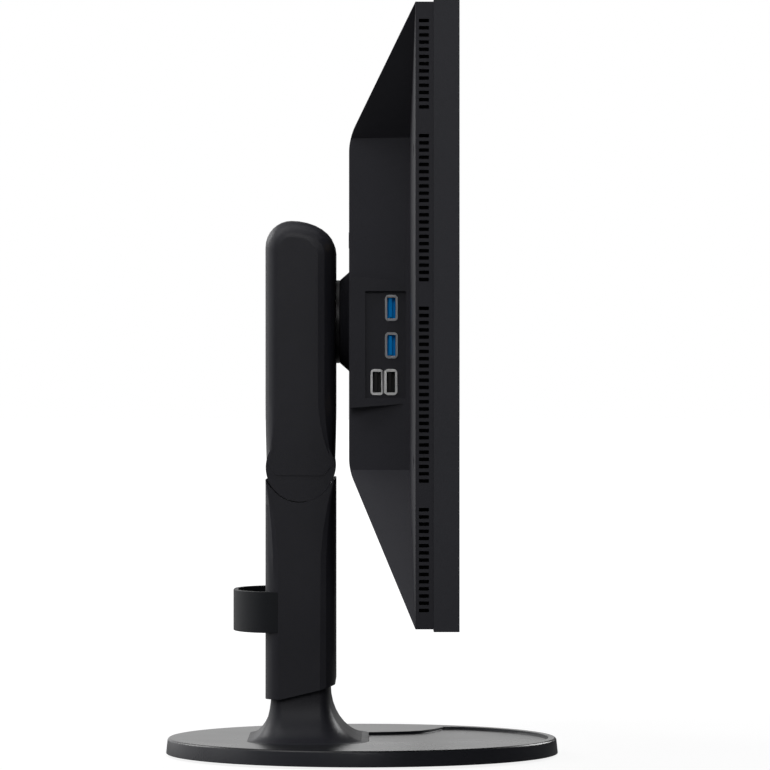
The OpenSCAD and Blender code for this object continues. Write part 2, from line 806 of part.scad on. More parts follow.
// The slots go through the outer wall alone
module side_vents() {
    color("black") for (i = slots_filled(), m = [0, 1]) mirror([m, 0, 0])
        translate([0, 0, head_z + (41 - i) * slot_pitch])
            span([rim_w / 2 - 12, rim_w / 2 + 1],
                [bezel_y + 2.7, bezel_y + 2.7 + slot_len], [-slot_h / 2, slot_h / 2]);
}

// A rib down each side behind the vents, which keeps fingers and light out
module vent_ribs() {
    for (m = [0, 1]) mirror([m, 0, 0])
        span([rim_w / 2 - 14.8, rim_w / 2 - 13], [tray_back + 0.3, rim_y + 6],
            [head_z - rim_h / 2, head_z + rim_h / 2]);
}

// Vents across the slope over the flat back
module top_vents() {
    color("black") for (x = [-130:10:130]) translate([x, 0, head_z + back_top])
        wide(4, [rim_y + 4, back_y], [26, 50]);
}

module rear_cover() {
    color("#2c2c2f") difference() {
        union() {
            wide(rim_w, [bezel_y, rim_y + 0.01], [head_z - rim_h / 2, head_z + rim_h / 2]);
            wide(head_w - 2 * wall - 0.4, [tray_y + 4, bezel_y + 0.01],
                [head_z - head_h / 2 + wall + 0.2, head_z + head_h / 2 - wall - 0.2]);
            housing();
            port_pod();
        }
        difference() {
            union() {
                wide(rim_w - 2 * wall, [tray_y, rim_y + 0.02],
                    [head_z - rim_h / 2 + wall, head_z + rim_h / 2 - wall]);
                side(rim_w - 2 * wall, housing_points(wall));
            }
            for (m = [0, 1]) mirror([m, 0, 0]) wing_hollow(wall);
            port_walls();
            bay_walls();
            screw_bosses();
            rocker_lugs();
            vent_ribs();
        }
        rocker_bores();
        port_recess();
        bay_room();
        side_vents();
        top_vents();
        boss_hole();
        vesa_places() rod_y(insert_r + slack, 0, [back_y - 4, back_y + 1], 0);
        catch_window();
        cover_screw_places() rod_y(screw_r + seat, 0, [tray_back, rim_y + 6], 0);
        cover_screw_places() rod_y(screw_r + 2.1, 0, [rim_y - 1.5, rim_y + 6], 0);
    }
}

module key_places() {
    for (i = [0:5]) translate([lens_x - 20 - i * 15, 0, key_z]) children();
}

module vesa_places() {
    for (x = [-1, 1]) for (z = [-1, 1]) translate([x * vesa / 2, 0, head_z + z * vesa / 2]) children();
}

module cover_screw_places() {
    for (x = [-1, 1]) for (z = [-84, 96]) translate([x * (rim_w / 2 - 31), 0, head_z + z]) children();
}

module screw_bosses() {
    cover_screw_places() rod_y(screw_r + 3.4, 0, [tray_back, rim_y + 6], 0);
}

module boss_hole() {
    rod_y(boss_root_r - 1.7, 0, [back_y - 4, back_y + 1], head_z);
}

module catch_window() {
    wide(catch_w + 2 * slack, [back_y - 4, back_y + 1],
        [catch_z - catch_h / 2 - catch_travel - slack, catch_z + catch_h / 2 + slack]);
}

// A block on the housing's left wall, with a flat face and edges that close in to the front
module port_pod() {
    front_y = rim_y + wing_rise + 1;
    translate([pod_x, 0, head_z]) rotate([90, 0, 90]) linear_extrude(20) polygon([
        [back_y - 0.8, pod_top], [front_y, pod_top - 3], [front_y, pod_bottom + 2.6],
        [back_y - 0.8, pod_bottom]]);
}

module port_box(grow, x) {
    span(x, [port_y - 8.6 - grow, port_y + 15.5 + grow],
        [head_z - 47.5 - grow, head_z + 16 + grow]);
}

module port_walls() {
    port_box(2, [pod_x, port_floor + 2.2]);
}

module port_recess() {
    port_box(0, [pod_x - 5, port_floor]);
    port_sockets() translate([pod_x, 0, 0]) usb_block(usb_t + 0.3, usb_len + 0.3, [-1, 30]);
}

module usb3_places() {
    for (z = usb3_z) translate([0, port_y, head_z + z]) children();
}

module usb2_places() {
    for (k = [0, 1]) translate([0, port_y + 0.3 + k * usb2_step, head_z + usb2_z]) children();
}

module port_sockets() {
    usb3_places() children();
    usb2_places() children();
}

module usb_block(t, len, x) {
    span(x, [-t / 2, t / 2], [-len / 2, len / 2]);
}

// The outline of a box with rounded corners
function soft_box(w, h, r) = [for (k = [0:3]) each
    arc([(k == 0 || k == 3 ? 1 : -1) * (w / 2 - r), (k < 2 ? 1 : -1) * (h / 2 - r)],
        r, r, 90 * k, 90 * k + 90, 4)];

// A socket's steel shell with its turned-out mouth
module usb_shell() {
    difference() {
        union() {
            usb_block(usb_t, usb_len, [port_floor - 0.4, port_floor + usb_deep]);
            translate([port_floor - 0.5, 0, 0]) rotate([90, 0, 90]) linear_extrude(0.5 - seat)
                polygon(soft_box(usb_t + 1.9, usb_len + 2.4, 2.2));
        }
        usb_block(usb_t - 0.7, usb_len - 0.7, [port_floor - 2, port_floor + usb_deep - 0.5]);
    }
}

module usb3_shells() {
    color("gainsboro") usb3_places() usb_shell();
}

module usb2_shells() {
    color("lightgray") usb2_places() usb_shell();
}

// The block at the back of a shell and the tongue that stands out of it
module usb_tongue() {
    usb_block(usb_t - 0.8, usb_len - 0.8, [port_floor + 4, port_floor + usb_deep - 0.55]);
    translate([0, 0.6, 0])
        usb_block(2, usb_len - 1.6, [port_floor + 0.4, port_floor + 5]);
}

module usb3_tongues() {
    color("dodgerblue") usb3_places() usb_tongue();
}

module usb2_tongues() {
    color("black") usb2_places() usb_tongue();
}

module usb_board() {
    x = port_floor + usb_deep + seat;
    color("darkgreen") span([x, x + 1.6], [port_y - 8, port_y + 15],
        [head_z - 46, head_z + 15]);
}

// The connectors' bay under the housing, open at the back and below
module bay_room() {
    wide(bay_w, [bay_y, back_y + 10], [head_z - rim_h / 2 - 1, bay_top]);
    bay_socket_holes();
}

module bay_walls() {
    wide(bay_w + 2 * wall, [bay_y - wall, back_y], [head_z - rim_h / 2, bay_top + wall]);
}

// Each socket's place along the bay and its outline's width and depth
dvi = [72, 38, 10];
displayport = [26, 17, 6.4];
hdmi = [-2, 15.6, 6.2];
uplink = [-30, 12.6, 11.4];
inlet = [inlet_x, 28, 20.4];
rocker = [rocker_x, 13.4, 20.4];

module bay_block(s, grow, z) {
    translate([s[0], socket_y, bay_top])
        span([-s[1] / 2 - grow, s[1] / 2 + grow], [-s[2] / 2 - grow, s[2] / 2 + grow], z);
}

module bay_socket_holes() {
    for (s = [dvi, displayport, hdmi, uplink, inlet]) bay_block(s, 0.15, [-1, wall + 1]);
    bay_block(rocker, 1.4, [-1, wall + 1]);
}

// A shell with its mouth down, its flange against the bay's ceiling, and a block of contacts inside
module bay_socket(s, rim, tongue) {
    difference() {
        union() {
            bay_block(s, 0, [-0.3, 12]);
            bay_block(s, rim, [-0.8, -seat]);
        }
        bay_block(s, -0.7, [-2, 10]);
    }
    translate([s[0], socket_y, bay_top])
        wide(tongue[0], [-tongue[1] / 2, tongue[1] / 2], [0.6, 10.5]);
}

module dvi_socket() {
    color("white") bay_socket(dvi, 1.2, [29, 4.6]);
}

module displayport_socket() {
    color("silver") bay_socket(displayport, 0.9, [12.6, 1.6]);
}

module hdmi_socket() {
    color("silver") bay_socket(hdmi, 0.9, [11.4, 1.5]);
}

module usb_uplink_socket() {
    color("silver") bay_socket(uplink, 0.9, [5.6, 3.2]);
}

module power_inlet() {
    color("black") {
        difference() {
            union() {
                bay_block(inlet, 0, [-0.3, 19]);
                bay_block(inlet, 1.3, [-1.2, -seat]);
            }
            bay_block(inlet, -2, [-2, 16]);
        }
        for (p = [[-7, -1.5], [0, 3], [7, -1.5]]) translate([inlet[0] + p[0], socket_y + p[1], bay_top])
            wide(2, [-2, 2], [1.5, 17]);
    }
}

// The rocker turns on a pin along X, held in two lugs over the bay's ceiling
module rocker_lugs() {
    for (k = [-1, 1]) translate([rocker[0] + k * (rocker[1] / 2 + 3.4), socket_y, bay_top + wall - 0.1])
        wide(3, [-4, 4], [0, rocker_up - wall + 4]);
}

module rocker_bores() {
    rod_x(rocker_pin_r + turn_gap, [rocker[0] - 20, rocker[0] + 20], socket_y, bay_top + rocker_up);
}

module power_rocker() {
    w = rocker[1];
    color("black") translate([rocker[0], socket_y, bay_top + rocker_up]) {
        rotate([90, 0, 90]) translate([0, 0, -w / 2]) linear_extrude(w) polygon([
            [-9.4, -4.9], [0, -6.1], [9.4, -6.8], [8.6, 0], [4, 4], [-4, 4], [-8.6, 0]]);
        rod_x(rocker_pin_r, [-rocker[1] / 2 - 4.6, rocker[1] / 2 + 4.6], 0, 0);
    }
}

module release_catch() {
    y = back_y - wall;
    color("#2c2c2f") {
        wide(catch_w, [y - slack - 0.1, back_y + 1.3],
            [catch_z - catch_h / 2, catch_z + catch_h / 2]);
        wide(catch_w + 6, [y - slack - 1.8, y - slack],
            [catch_z - catch_h / 2 - 3, catch_z + catch_h / 2 + 3]);
    }
}

module mount_bracket() {
    low = head_z - 62;
    color("silver") difference() {
        union() {
            wide(128, bracket, [low, low + 124]);
            for (x = [-59.5, 59.5]) for (z = [-56, 48]) translate([x, 0, head_z + z])
                wide(8, [shield_y, bracket[0] + 0.1], [-2, 6]);
        }
        rod_y(20, 0, [back_y - 8, back_y], head_z);
        vesa_places() rod_y(insert_r + seat, 0, [back_y - 9, back_y], 0);
        boss_screw_places() rod_y(1.9, 0, [back_y - 9, back_y], 0);
        wide(catch_w + 12, [back_y - 9, back_y], [catch_z - catch_h / 2 - catch_travel - 5, low + 130]);
    }
}

module mount_inserts() {
    color("goldenrod") vesa_places() difference() {
        rod_y(insert_r, 0, [back_y - 11, back_y - 0.1], 0);
        rod_y(vesa_r, 0, [back_y - 12, back_y], 0);
    }
}

module boss_screw_places() {
    for (a = [0:90:270]) translate([0, 0, head_z]) rotate([0, a + 45, 0]) translate([25, 0, 0])
        children();
}

module pivot_boss() {
    plate_y = case_front - slack - plate_t - 0.1;
    color("#1b1b1e") difference() {
        union() {
            translate([0, back_y + seat, head_z]) rotate([-90, 0, 0])
                cylinder(r1 = boss_root_r, r2 = boss_d / 2, h = plate_y - back_y - seat);
            rod_y(boss_root_r - 2, 0, [bracket[1] + seat, back_y + 0.1], head_z);
            rod_y(19.6, 0, [back_y - 7 + seat, back_y], head_z);
        }
        rod_y(pivot_r + turn_gap, 0, [back_y - 8, back_y + 12], head_z);
        boss_screw_places() rod_y(1.7, 0, [bracket[1] - 1, back_y - 0.5], 0);
    }
}

module boss_screws() {
    color("silver") boss_screw_places() {
        rod_y(1.65, 0, [bracket[0] - 0.1, back_y - 0.6], 0);
        rod_y(3.2, 0, [bracket[0] - 2, bracket[0] - seat], 0);
    }
}

module board(x, z, parts) {
    y = tray_back + seat;
    wide_y = [y + 8, y + 9.6];
    color("darkgreen") {
        span(x, wide_y, [head_z + z[0], head_z + z[1]]);
        for (px = [x[0] + 5, x[1] - 5]) for (pz = [z[0] + 5, z[1] - 5])
            rod_y(3, px, [y, y + 8.1], head_z + pz);
        for (p = parts) translate([p[0], 0, head_z + p[1]])
            wide(p[2], [y + 9.5, y + 9.6 + p[4]], [-p[3] / 2, p[3] / 2]);
    }
}

module main_board() {
    board([-118, 24], [-70, 44], [[-80, 10, 30, 30, 5], [-40, -20, 24, 24, 2], [0, 20, 16, 24, 2],
        [-50, -58, 90, 8, 6]]);
}

module power_board() {
    board([34, 118], [-70, 44], [[58, 20, 32, 30, 15], [96, 16, 22, 22, 15], [76, -30, 50, 12, 14]]);
}

module board_shield() {
    t = 0.8;
    color("silver") difference() {
        wide(250, [tray_back + seat, shield_y - seat], [head_z - 80, head_z + 60]);
        wide(250 - 2 * t, [tray_back - 1, shield_y - seat - t], [head_z - 80 + t, head_z + 60 - t]);
    }
}

module key_board() {
    color("darkgreen") span([lens_x - 104, lens_x + 8], [tray_y + seat, tray_y + seat + 1.2],
        [key_z - 6, key_z + 1.4]);
}

module power_lens() {
    color("lightblue") rod_y(lens_r, lens_x, [front_y - 0.1, tray_y], key_z);
}

module cover_screws() {
    color("dimgray") cover_screw_places() {
        rod_y(screw_r, 0, [tray_back + seat, rim_y - 1], 0);
        rod_y(screw_r + 1.8, 0, [rim_y - 1.5 + seat, rim_y], 0);
    }
}

turntable_plate();
rubber_feet();
swivel_pin();
base_cover();
base_weight();
glide_ring();
neck_cover();
neck_upright();
neck_screws();
column_front_cover();
column_rear_cover();
column_mast();
knee_yoke();
column_glides();
lift_springs();
cable_holder();
arm_front_cover();
arm_rear_cover();
arm_frame();
knee_shaft();
knee_washers();
knee_nuts();
carriage_rails();
spring_drum();
drum_axle();
carriage_block();
pivot_plate();
pivot_pin();
pivot_washer();
pivot_nut();
front_bezel();
lcd_panel();
optical_sheets();
light_guide();
led_bars();
panel_tray();
rear_cover();
mount_bracket();
mount_inserts();
pivot_boss();
boss_screws();
main_board();
power_board();
board_shield();
usb_board();
usb3_shells();
usb3_tongues();
usb2_shells();
usb2_tongues();
dvi_socket();
displayport_socket();
hdmi_socket();
usb_uplink_socket();
power_inlet();
power_rocker();
release_catch();
key_board();
power_lens();
cover_screws();
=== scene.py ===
"""The looks of a desktop monitor on a round base: its shells, finishes, light and camera.

Everything is in metres. +X is to the viewer's right, the screen faces -Y, +Z is up, and the
origin is on the desk under the centre of the base.
"""

import json
import math

import bpy
from mathutils import Matrix, Vector

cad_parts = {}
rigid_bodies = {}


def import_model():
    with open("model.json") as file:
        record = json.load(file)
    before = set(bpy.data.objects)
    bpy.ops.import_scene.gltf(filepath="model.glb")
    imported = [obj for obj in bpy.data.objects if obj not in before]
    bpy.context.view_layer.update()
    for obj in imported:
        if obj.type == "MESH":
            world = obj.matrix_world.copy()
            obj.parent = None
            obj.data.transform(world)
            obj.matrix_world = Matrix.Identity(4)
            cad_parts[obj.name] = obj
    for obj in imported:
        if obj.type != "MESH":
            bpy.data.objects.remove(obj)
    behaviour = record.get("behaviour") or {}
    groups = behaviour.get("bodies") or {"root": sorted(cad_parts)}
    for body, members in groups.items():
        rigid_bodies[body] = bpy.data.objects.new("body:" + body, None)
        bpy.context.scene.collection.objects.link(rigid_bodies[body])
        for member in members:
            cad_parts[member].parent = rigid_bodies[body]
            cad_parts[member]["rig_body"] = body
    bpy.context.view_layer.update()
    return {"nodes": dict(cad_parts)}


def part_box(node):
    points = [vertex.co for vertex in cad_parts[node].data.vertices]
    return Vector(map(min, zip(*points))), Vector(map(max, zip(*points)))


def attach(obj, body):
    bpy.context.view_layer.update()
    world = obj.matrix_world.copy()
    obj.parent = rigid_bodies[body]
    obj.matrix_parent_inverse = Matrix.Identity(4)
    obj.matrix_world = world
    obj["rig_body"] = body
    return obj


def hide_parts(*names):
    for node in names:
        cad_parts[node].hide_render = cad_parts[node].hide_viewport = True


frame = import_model()
nodes = frame["nodes"]

MM = 0.001


# ---------- camera ----------

# The monitor is seen level, from its left side, by a long lens
CAMERA_PLACE = (-3.100, -0.0144, 0.232)
CAMERA_LENS = 231.15
CAMERA_SENSOR = 36
CAMERA_REACH = 60

camera_data = bpy.data.cameras.new("side_camera")
camera_data.lens = CAMERA_LENS
camera_data.sensor_width = CAMERA_SENSOR
camera_data.clip_end = CAMERA_REACH
camera = bpy.data.objects.new("side_camera", camera_data)
camera.location = CAMERA_PLACE
camera.rotation_euler = (math.radians(90), 0, math.radians(-90))
bpy.context.scene.collection.objects.link(camera)
bpy.context.scene.camera = camera
bpy.context.scene.view_settings.view_transform = "Standard"


# ---------- node tools ----------


def new_material(name):
    """A material, its node tree, its Principled BSDF and the place its patterns follow."""
    material = bpy.data.materials.new(name)
    material.use_nodes = True
    tree = material.node_tree
    shader = tree.nodes["Principled BSDF"]
    place = tree.nodes.new("ShaderNodeTexCoord").outputs["Object"]
    return material, tree, shader, place


def join(tree, source, target):
    tree.links.new(source, target)


def new_group(name, inputs, outputs):
    """A shader node group with its inputs, as (name, kind, default), and its outputs."""
    group = bpy.data.node_groups.new(name, "ShaderNodeTree")
    for label, kind, default in inputs:
        socket = group.interface.new_socket(label, in_out="INPUT", socket_type=kind)
        if default is not None:
            socket.default_value = default
    for label, kind in outputs:
        group.interface.new_socket(label, in_out="OUTPUT", socket_type=kind)
    return group, group.nodes.new("NodeGroupInput"), group.nodes.new("NodeGroupOutput")


def noise(tree, place, scale, detail=2.0, rough=0.5):
    """A noise pattern's values, from 0 to 1."""
    node = tree.nodes.new("ShaderNodeTexNoise")
    node.inputs["Scale"].default_value = scale
    node.inputs["Detail"].default_value = detail
    node.inputs["Roughness"].default_value = rough
    join(tree, place, node.inputs["Vector"])
    return node.outputs["Fac"]


def maths(tree, kind, a, b=None):
    """One sum on sockets or plain numbers."""
    node = tree.nodes.new("ShaderNodeMath")
    node.operation = kind
    for socket, value in zip(node.inputs, (a, b)):
        if value is None:
            continue
        if isinstance(value, (int, float)):
            socket.default_value = value
        else:
            join(tree, value, socket)
    return node.outputs[0]


def along(tree, vector, direction):
    """How far a vector points along a direction."""
    product = tree.nodes.new("ShaderNodeVectorMath")
    product.operation = "DOT_PRODUCT"
    join(tree, vector, product.inputs[0])
    product.inputs[1].default_value = direction
    return product.outputs["Value"]


def spread(tree, value, low, high, to_low, to_high):
    """A value's range from low to high laid over the range from to_low to to_high."""
    node = tree.nodes.new("ShaderNodeMapRange")
    join(tree, value, node.inputs["Value"])
    for label, number in zip(
        ("From Min", "From Max", "To Min", "To Max"), (low, high, to_low, to_high)
    ):
        if isinstance(number, (int, float)):
            node.inputs[label].default_value = number
        else:
            join(tree, number, node.inputs[label])
    return node.outputs["Result"]


def mixed(tree, mask, dark, light):
    """One colour where the mask is 0 and another where it is 1."""
    node = tree.nodes.new("ShaderNodeMix")
    node.data_type = "RGBA"
    join(tree, mask, node.inputs["Factor"])
    for socket, colour in ((node.inputs[6], dark), (node.inputs[7], light)):
        if isinstance(colour, tuple):
            socket.default_value = (*colour, 1)
        else:
            join(tree, colour, socket)
    return node.outputs[2]


# ---------- shared surface effects ----------

# The moulded grain's finer roughness: how much finer than its cells, and each one's height
FINE_PER_CELL = 2.1
CELL_SHARE, FINE_SHARE = 0.7, 0.5


def make_moulded_grain():
    """The fine pebbled texture of moulded housings: small cells with a finer roughness on them."""
    group, given, out = new_group(
        "moulded_grain",
        [("Place", "NodeSocketVector", None), ("Cells", "NodeSocketFloat", 1700.0)],
        [("Height", "NodeSocketFloat"), ("Fine", "NodeSocketFloat")],
    )
    cells = group.nodes.new("ShaderNodeTexVoronoi")
    cells.feature = "SMOOTH_F1"
    cells.inputs["Smoothness"].default_value = 0.6
    join(group, given.outputs["Place"], cells.inputs["Vector"])
    join(group, given.outputs["Cells"], cells.inputs["Scale"])
    fine = group.nodes.new("ShaderNodeTexNoise")
    fine.inputs["Detail"].default_value = 2
    join(group, given.outputs["Place"], fine.inputs["Vector"])
    fine_scale = maths(group, "MULTIPLY", given.outputs["Cells"], FINE_PER_CELL)
    join(group, fine_scale, fine.inputs["Scale"])
    height = maths(
        group,
        "ADD",
        maths(group, "MULTIPLY", cells.outputs["Distance"], CELL_SHARE),
        maths(group, "MULTIPLY", fine.outputs["Fac"], FINE_SHARE),
    )
    join(group, height, out.inputs["Height"])
    join(group, fine.outputs["Fac"], out.inputs["Fine"])
    return group


def make_handling():
    """Broad, faint changes over a surface from moulding and from hands, from 0 to 1."""
    group, given, out = new_group(
        "handling",
        [("Place", "NodeSocketVector", None), ("Size", "NodeSocketFloat", 14.0)],
        [("Mask", "NodeSocketFloat")],
    )
    broad = group.nodes.new("ShaderNodeTexNoise")
    broad.inputs["Detail"].default_value = 4
    broad.inputs["Roughness"].default_value = 0.6
    join(group, given.outputs["Place"], broad.inputs["Vector"])
    join(group, given.outputs["Size"], broad.inputs["Scale"])
    join(group, spread(group, broad.outputs["Fac"], 0.3, 0.7, 0, 1), out.inputs["Mask"])
    return group


def make_brushing():
    """Fine lines along one axis, for rolled, drawn or turned metal."""
    group, given, out = new_group(
        "brushing",
        [
            ("Place", "NodeSocketVector", None),
            ("Stretch", "NodeSocketVector", (1.0, 1.0, 40.0)),
        ],
        [("Height", "NodeSocketFloat"), ("Mask", "NodeSocketFloat")],
    )
    stretched = group.nodes.new("ShaderNodeVectorMath")
    stretched.operation = "MULTIPLY"
    join(group, given.outputs["Place"], stretched.inputs[0])
    join(group, given.outputs["Stretch"], stretched.inputs[1])
    lines = noise(group, stretched.outputs[0], scale=90, detail=5, rough=0.7)
    cloud = noise(group, given.outputs["Place"], scale=26, detail=3, rough=0.6)
    join(group, lines, out.inputs["Height"])
    mask = spread(group, maths(group, "ADD", lines, cloud), 0.7, 1.3, 0, 1)
    join(group, mask, out.inputs["Mask"])
    return group


GRAIN = make_moulded_grain()
HANDLING = make_handling()
BRUSHING = make_brushing()


def use(tree, group, place, **values):
    """A shared effect at a place, with its inputs set to plain values."""
    node = tree.nodes.new("ShaderNodeGroup")
    node.node_tree = group
    join(tree, place, node.inputs["Place"])
    for label, value in values.items():
        node.inputs[label].default_value = value
    return node.outputs


def raise_bumps(tree, shader, height, depth, strength=1.0):
    """Turns a height pattern into fine relief, with its depth in metres."""
    bump = tree.nodes.new("ShaderNodeBump")
    bump.inputs["Strength"].default_value = strength
    bump.inputs["Distance"].default_value = depth
    join(tree, height, bump.inputs["Height"])
    join(tree, bump.outputs["Normal"], shader.inputs["Normal"])


# ---------- finishes ----------

# A moulded surface's tone comes from broad handling and from its fine grain, in these shares
HAND_SHARE, GRAIN_SHARE = 0.6, 0.4
# Where a piece has a smoother foot, the change ends at this many times the foot's height
FOOT_FADE = 2.4
METAL_LINE_DEPTH = 0.00001
PLASTIC_FLOW_DEPTH = 0.000008


def moulded(name, dark, light, rough, cells=1700.0, depth=0.00004, gloss=0.12, foot=None):
    """Textured injection-moulded plastic. A foot is (height, roughness) where it gets smoother."""
    material, tree, shader, place = new_material(name)
    grain = use(tree, GRAIN, place, Cells=cells)
    hand = use(tree, HANDLING, place, Size=14.0)
    tone = maths(
        tree,
        "ADD",
        maths(tree, "MULTIPLY", hand["Mask"], HAND_SHARE),
        maths(tree, "MULTIPLY", grain["Fine"], GRAIN_SHARE),
    )
    join(tree, mixed(tree, tone, dark, light), shader.inputs["Base Color"])
    roughness = spread(tree, hand["Mask"], 0, 1, rough[0], rough[1])
    if foot:
        foot_high, foot_rough = foot
        up = along(tree, place, (0, 0, 1))
        rise = spread(tree, up, foot_high, FOOT_FADE * foot_high, 0, 1)
        low_down = maths(tree, "SUBTRACT", 1, rise)
        smoother = maths(tree, "MULTIPLY", low_down, rough[0] - foot_rough)
        roughness = maths(tree, "SUBTRACT", roughness, smoother)
    join(tree, roughness, shader.inputs["Roughness"])
    raise_bumps(tree, shader, grain["Height"], depth)
    shader.inputs["Specular IOR Level"].default_value = gloss
    return material


def metal(name, dark, light, rough, stretch=(1.0, 1.0, 40.0)):
    """Sheet, bar or turned metal with fine working lines."""
    material, tree, shader, place = new_material(name)
    lines = use(tree, BRUSHING, place, Stretch=stretch)
    join(tree, mixed(tree, lines["Mask"], dark, light), shader.inputs["Base Color"])
    join(tree, spread(tree, lines["Mask"], 0, 1, rough[1], rough[0]), shader.inputs["Roughness"])
    raise_bumps(tree, shader, lines["Height"], METAL_LINE_DEPTH, strength=0.6)
    shader.inputs["Metallic"].default_value = 1.0
    return material


def smooth_plastic(name, dark, light, rough, gloss=0.5):
    """Plain plastic with a little cloudiness and faint flow marks."""
    material, tree, shader, place = new_material(name)
    hand = use(tree, HANDLING, place, Size=60.0)
    join(tree, mixed(tree, hand["Mask"], dark, light), shader.inputs["Base Color"])
    join(tree, spread(tree, hand["Mask"], 0, 1, rough[0], rough[1]), shader.inputs["Roughness"])
    flow = noise(tree, place, scale=900, detail=3)
    raise_bumps(tree, shader, flow, PLASTIC_FLOW_DEPTH, strength=0.5)
    shader.inputs["Specular IOR Level"].default_value = gloss
    return material


HOUSING = moulded(
    "housing_plastic", (0.0225, 0.0225, 0.0280), (0.0305, 0.0305, 0.0376), (0.50, 0.60), gloss=0.22
)
BEZEL = moulded(
    "bezel_plastic", (0.0307, 0.0313, 0.0377), (0.0392, 0.0399, 0.0479), (0.50, 0.60), gloss=0.25
)
NECK = moulded(
    "neck_plastic",
    (0.0204, 0.0206, 0.0256),
    (0.0266, 0.0269, 0.0330),
    (0.46, 0.54),
    gloss=0.20,
    foot=(0.016, 0.36),
)
STAND = moulded(
    "stand_plastic", (0.0198, 0.0198, 0.0249), (0.0260, 0.0260, 0.0326), (0.42, 0.50), gloss=0.30
)
BASE = moulded(
    "base_plastic",
    (0.0080, 0.0082, 0.0102),
    (0.0105, 0.0107, 0.0132),
    (0.265, 0.290),
    depth=0.000012,
    gloss=0.35,
)
# The base's edge: the base's own plastic, a little rougher, and lighter in colour than the top as
# painted light
BASE_SIDE_PAINTED_LIGHT = moulded(
    "base_side_painted_light", (0.0240, 0.0245, 0.0300), (0.0315, 0.0322, 0.0390), (0.26, 0.34), gloss=0.30
)
CLIP = moulded(
    "clip_plastic", (0.0149, 0.0162, 0.0185), (0.0216, 0.0230, 0.0265), (0.38, 0.46)
)
# Painted shade: the vent ribs' own plastic in a blacker colour than the cover they belong to
VENT_RIB_PAINTED_SHADE = smooth_plastic(
    "vent_rib_painted_shade", (0.0035, 0.0035, 0.0040), (0.0060, 0.0060, 0.0070), (0.60, 0.70), 0.1
)
SOCKET_BLACK = smooth_plastic(
    "socket_black", (0.012, 0.012, 0.012), (0.017, 0.017, 0.016), (0.40, 0.50), 0.2
)
SMALL_BLACK = smooth_plastic(
    "small_black_plastic", (0.008, 0.008, 0.009), (0.014, 0.014, 0.015), (0.35, 0.45)
)
BLUE = smooth_plastic(
    "socket_blue", (0.0015, 0.240, 0.70), (0.0030, 0.290, 0.80), (0.45, 0.55), 0.06
)
WHITE = smooth_plastic(
    "socket_white", (0.70, 0.70, 0.66), (0.78, 0.78, 0.74), (0.35, 0.45)
)
NYLON = smooth_plastic("nylon", (0.62, 0.60, 0.53), (0.72, 0.70, 0.64), (0.45, 0.55))
RUBBER = moulded(
    "foot_rubber",
    (0.010, 0.010, 0.010),
    (0.018, 0.018, 0.018),
    (0.75, 0.85),
    cells=900.0,
    gloss=0.25,
)
STEEL = metal(
    "zinc_steel", (0.42, 0.43, 0.45), (0.60, 0.61, 0.62), (0.30, 0.46), (1, 40, 1)
)
BRIGHT = metal(
    "bright_steel", (0.55, 0.55, 0.56), (0.72, 0.72, 0.73), (0.18, 0.30), (1, 1, 60)
)
DARK_STEEL = metal("black_steel", (0.05, 0.05, 0.052), (0.09, 0.09, 0.095), (0.35, 0.5))
NICKEL = metal(
    "nickel_plate", (0.34, 0.35, 0.37), (0.45, 0.45, 0.46), (0.30, 0.42), (1, 1, 30)
)
BRIGHT_TIN = metal(
    "bright_tin", (0.72, 0.72, 0.72), (0.84, 0.84, 0.83), (0.34, 0.46), (1, 1, 30)
)
BRASS = metal("brass", (0.50, 0.36, 0.13), (0.66, 0.49, 0.20), (0.25, 0.4), (60, 1, 1))


def screen_film(wide, high, middle):
    """The picture's front: a nearly black matt film, and a blacker border round the picture."""
    material, tree, shader, place = new_material("screen_film")
    grain = use(tree, GRAIN, place, Cells=3200.0)
    hand = use(tree, HANDLING, place, Size=6.0)
    parts = tree.nodes.new("ShaderNodeSeparateXYZ")
    join(tree, place, parts.inputs[0])
    across = maths(tree, "ABSOLUTE", parts.outputs["X"])
    up = maths(tree, "ABSOLUTE", maths(tree, "SUBTRACT", parts.outputs["Z"], middle))
    picture = maths(
        tree,
        "MULTIPLY",
        maths(tree, "LESS_THAN", across, wide / 2),
        maths(tree, "LESS_THAN", up, high / 2),
    )
    cells = mixed(tree, hand["Mask"], (0.0075, 0.0078, 0.0095), (0.0100, 0.0104, 0.0125))
    join(tree, mixed(tree, picture, (0.0020, 0.0020, 0.0022), cells), shader.inputs["Base Color"])
    join(tree, spread(tree, hand["Mask"], 0, 1, 0.26, 0.34), shader.inputs["Roughness"])
    raise_bumps(tree, shader, grain["Height"], 0.00001, strength=0.5)
    shader.inputs["Specular IOR Level"].default_value = 0.4
    return material


